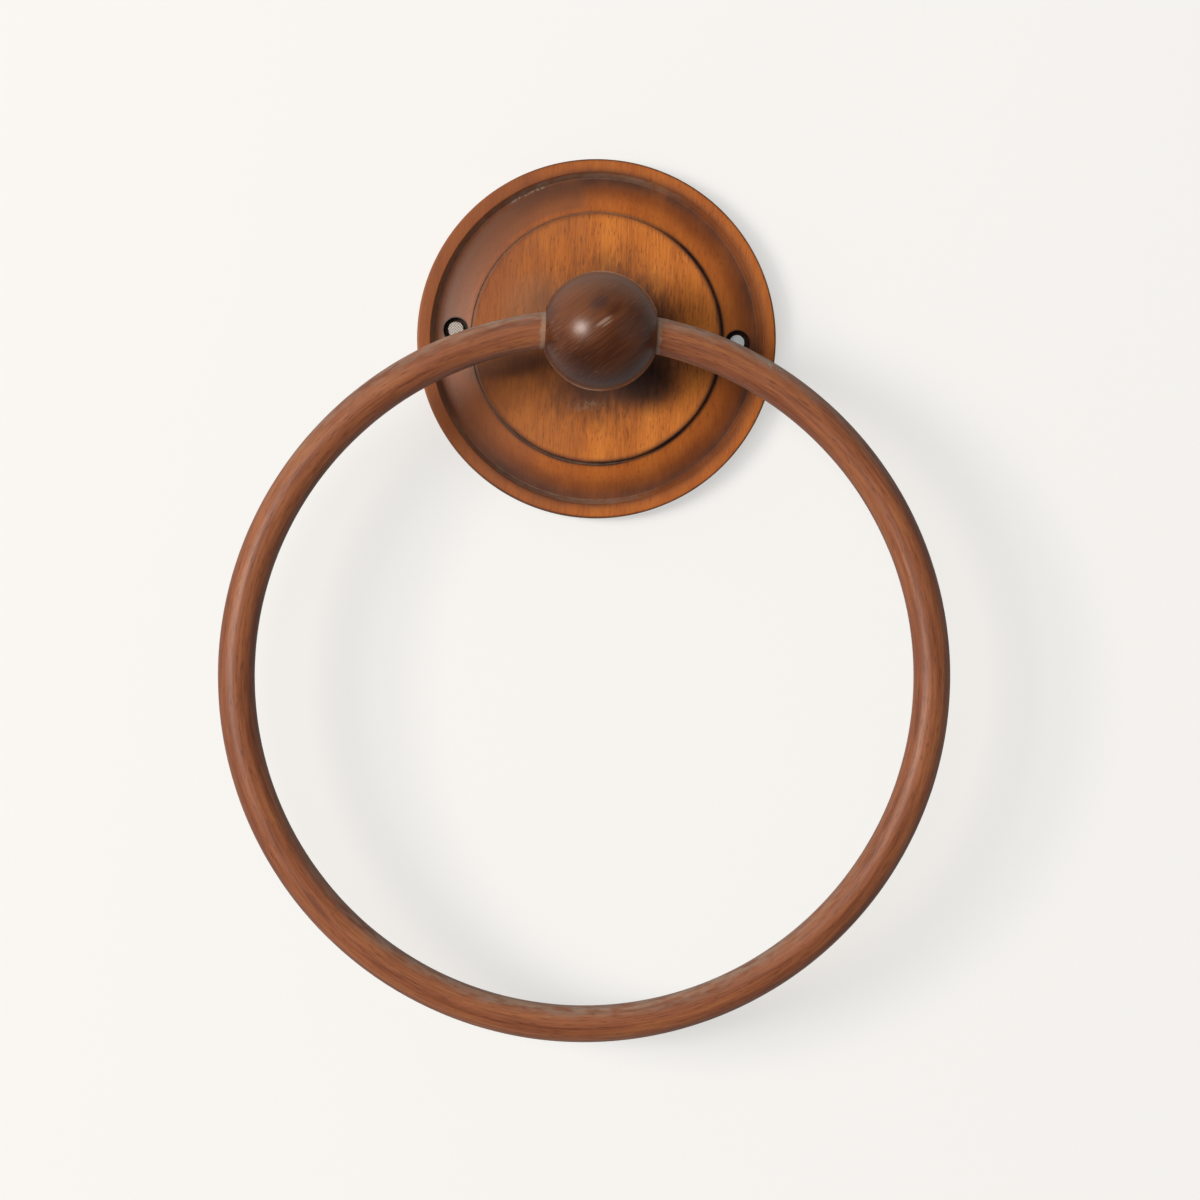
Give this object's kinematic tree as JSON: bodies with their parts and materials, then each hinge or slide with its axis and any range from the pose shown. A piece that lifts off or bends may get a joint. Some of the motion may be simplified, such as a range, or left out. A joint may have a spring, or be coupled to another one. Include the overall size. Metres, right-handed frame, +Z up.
{
  "type": "towel ring",
  "caption": "Wall-mounted wooden towel ring: a round moulded wall plate, a ball knob on a post, and a large bentwood ring that swings in the hole through the ball.",
  "frame": {"origin": "centre of the wall plate's back face, on the wall", "axes": "+Z up, -Y out from the wall into the room, +X to the right as seen from the room"},
  "size_m": [0.2138, 0.0915, 0.2617],
  "materials": {
    "plate_wood": "satin varnish on stained turned wood, dark in the hollow",
    "knob_wood": "polished dark brown turned wood",
    "screw_steel": "plain steel wood screw",
    "ring_wood": "satin reddish brown bent wood",
    "dowel_wood": "bare beech",
    "coated_nail": "pale coated nail with a checkered head",
    "bright_nail": "bright steel nail"
  },
  "bodies": {
    "wall_mount": {"wall_plate": "plate_wood", "knob": "knob_wood", "knob_screw": "screw_steel", "left_wall_nail": "coated_nail", "right_wall_nail": "bright_nail"},
    "towel_ring": {"ring": "ring_wood", "ring_dowel": "dowel_wood"}
  },
  "joints": [
    {"name": "ring_swing", "type": "hinge", "parent": "wall_mount", "child": "towel_ring", "pos_m": [0, -0.046, 0], "axis": [-1, 0, 0], "range_deg": [-11, 191]}
  ]
}
